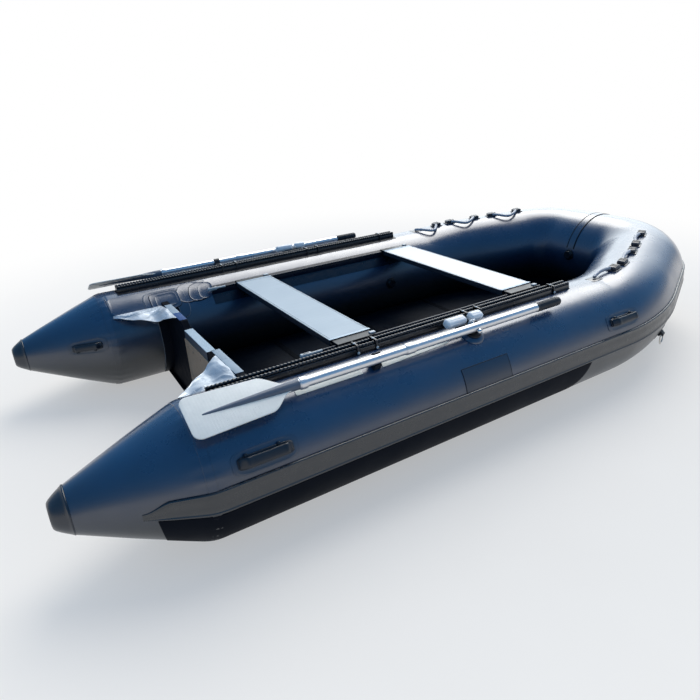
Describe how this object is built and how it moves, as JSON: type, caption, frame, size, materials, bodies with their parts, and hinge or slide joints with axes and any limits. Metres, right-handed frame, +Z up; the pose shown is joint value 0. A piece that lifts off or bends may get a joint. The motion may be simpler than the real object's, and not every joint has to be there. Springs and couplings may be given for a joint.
{
  "type": "inflatable boat",
  "caption": "Inflatable dinghy with cone-ended side tubes, a raised round bow, a transom for an outboard, sliding bench seats and stowed oars on swinging oarlocks.",
  "frame": {"origin": "on the ground under the middle of the hull, halfway between the stern tips and the nose", "axes": "+X towards the bow, +Y to port, +Z up"},
  "size_m": [3.3476, 1.737, 0.5219],
  "materials": {
    "black_fabric": "coated",
    "black_plastic": "satin",
    "blade_plastic": "matt",
    "cap_metal": "satin",
    "floor_aluminium": "anodised",
    "floor_board": "coated",
    "grey_plastic": "satin",
    "loop_rope": "woven",
    "pad_plastic": "matt",
    "rail_rubber": "satin",
    "ring_steel": "polished",
    "seat_aluminium": "brushed",
    "shaft_aluminium": "satin",
    "silver_cloth": "coated",
    "steel": "satin",
    "strake_rubber": "satin",
    "transom_paint": "painted",
    "tube_fabric": "coated"
  },
  "bodies": {
    "hull": {"bow_handle_port": "black_plastic", "bow_handle_starboard": "black_plastic", "bow_tube": "tube_fabric", "bow_valve": "black_plastic", "cone_handle_port": "black_plastic", "cone_handle_starboard": "black_plastic", "floor_boards": "floor_board", "floor_stringer_port": "floor_aluminium", "floor_stringer_starboard": "floor_aluminium", "grab_loop_aft_port": "loop_rope", "grab_loop_aft_starboard": "loop_rope", "grab_loop_fore_port": "loop_rope", "grab_loop_fore_starboard": "loop_rope", "grab_loop_middle_port": "loop_rope", "grab_loop_middle_starboard": "loop_rope", "gunwale_rail_port": "rail_rubber", "gunwale_rail_starboard": "rail_rubber", "hull_bottom": "black_fabric", "keel_tube": "tube_fabric", "motor_pad": "pad_plastic", "nose_band": "tube_fabric", "oar_cradle_port": "black_plastic", "oar_cradle_starboard": "black_plastic", "oarlock_base_port": "black_plastic", "oarlock_base_starboard": "black_plastic", "rubbing_strake": "strake_rubber", "seat_track_port": "black_fabric", "seat_track_starboard": "black_fabric", "side_tube_port": "tube_fabric", "side_tube_starboard": "tube_fabric", "stern_handle_port": "black_plastic", "stern_handle_starboard": "black_plastic", "tow_tab_port": "black_plastic", "tow_tab_starboard": "black_plastic", "transom": "transom_paint", "transom_cap": "cap_metal", "transom_gusset_port": "silver_cloth", "transom_gusset_starboard": "silver_cloth", "transom_holder_port": "black_fabric", "transom_holder_starboard": "black_fabric", "valve_port": "black_plastic", "valve_starboard": "black_plastic"},
    "rear_seat_body": {"rear_seat": "seat_aluminium", "rear_slider_port": "black_plastic", "rear_slider_starboard": "black_plastic"},
    "front_seat_body": {"front_seat": "seat_aluminium", "front_slider_port": "black_plastic", "front_slider_starboard": "black_plastic"},
    "oar_port": {"oar_shaft_port": "shaft_aluminium", "oar_blade_port": "blade_plastic", "oar_grip_port": "black_plastic", "oarlock_head_port": "grey_plastic", "oarlock_pin_port": "steel"},
    "tow_ring_port_body": {"tow_ring_port": "ring_steel"},
    "oar_starboard": {"oar_shaft_starboard": "shaft_aluminium", "oar_blade_starboard": "blade_plastic", "oar_grip_starboard": "black_plastic", "oarlock_head_starboard": "grey_plastic", "oarlock_pin_starboard": "steel"},
    "tow_ring_starboard_body": {"tow_ring_starboard": "ring_steel"}
  },
  "joints": [
    {"name": "rear_seat_slide", "type": "slide", "parent": "hull", "child": "rear_seat_body", "axis": [1, 0, 0], "range_m": [-0.1, 0.33]},
    {"name": "front_seat_slide", "type": "slide", "parent": "hull", "child": "front_seat_body", "axis": [1, 0, 0], "range_m": [-0.33, 0.01]},
    {"name": "oar_port_swing", "type": "hinge", "parent": "hull", "child": "oar_port", "pos_m": [-0.223, 0.74844, 0.46041], "axis": [0, -0.4226, -0.9063], "range_deg": [0, 120]},
    {"name": "oar_starboard_swing", "type": "hinge", "parent": "hull", "child": "oar_starboard", "pos_m": [-0.223, -0.74844, 0.46041], "axis": [0, -0.4226, 0.9063], "range_deg": [0, 120]},
    {"name": "tow_ring_port_swing", "type": "hinge", "parent": "hull", "child": "tow_ring_port_body", "pos_m": [0.93826, 0.7972, 0.14196], "axis": [0.9491, -0.308, 0.0659], "range_deg": [-20, 120]},
    {"name": "tow_ring_starboard_swing", "type": "hinge", "parent": "hull", "child": "tow_ring_starboard_body", "pos_m": [0.93826, -0.7972, 0.14196], "axis": [-0.9491, -0.308, -0.0659], "range_deg": [-20, 120]}
  ]
}
